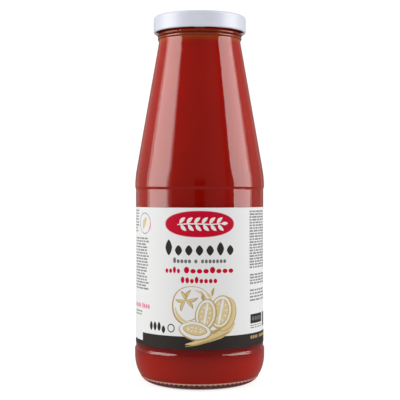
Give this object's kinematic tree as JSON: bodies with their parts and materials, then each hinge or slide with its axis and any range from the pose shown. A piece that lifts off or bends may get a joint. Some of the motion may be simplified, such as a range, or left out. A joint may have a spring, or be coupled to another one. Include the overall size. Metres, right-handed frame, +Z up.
{
  "type": "passata bottle",
  "caption": "Tall clear glass bottle filled with tomato passata, with a long tapered neck, a white twist-off lid and a wrap-round paper label.",
  "frame": {"origin": "centre of the base, on the surface that the bottle stands on", "axes": "+Z up along the bottle's axis of symmetry; the front of the label faces -Y and its overlap lies at +Y"},
  "size_m": [0.0781, 0.078, 0.219],
  "materials": {
    "glass": "clear flint glass, polished",
    "passata": "wet smooth tomato puree",
    "lid": "white gloss enamel on tinplate",
    "label": "white satin label paper with printed fields of colour"
  },
  "bodies": {
    "root": {"glass_bottle": "glass", "passata": "passata", "lid": "lid", "label": "label"}
  },
  "joints": []
}
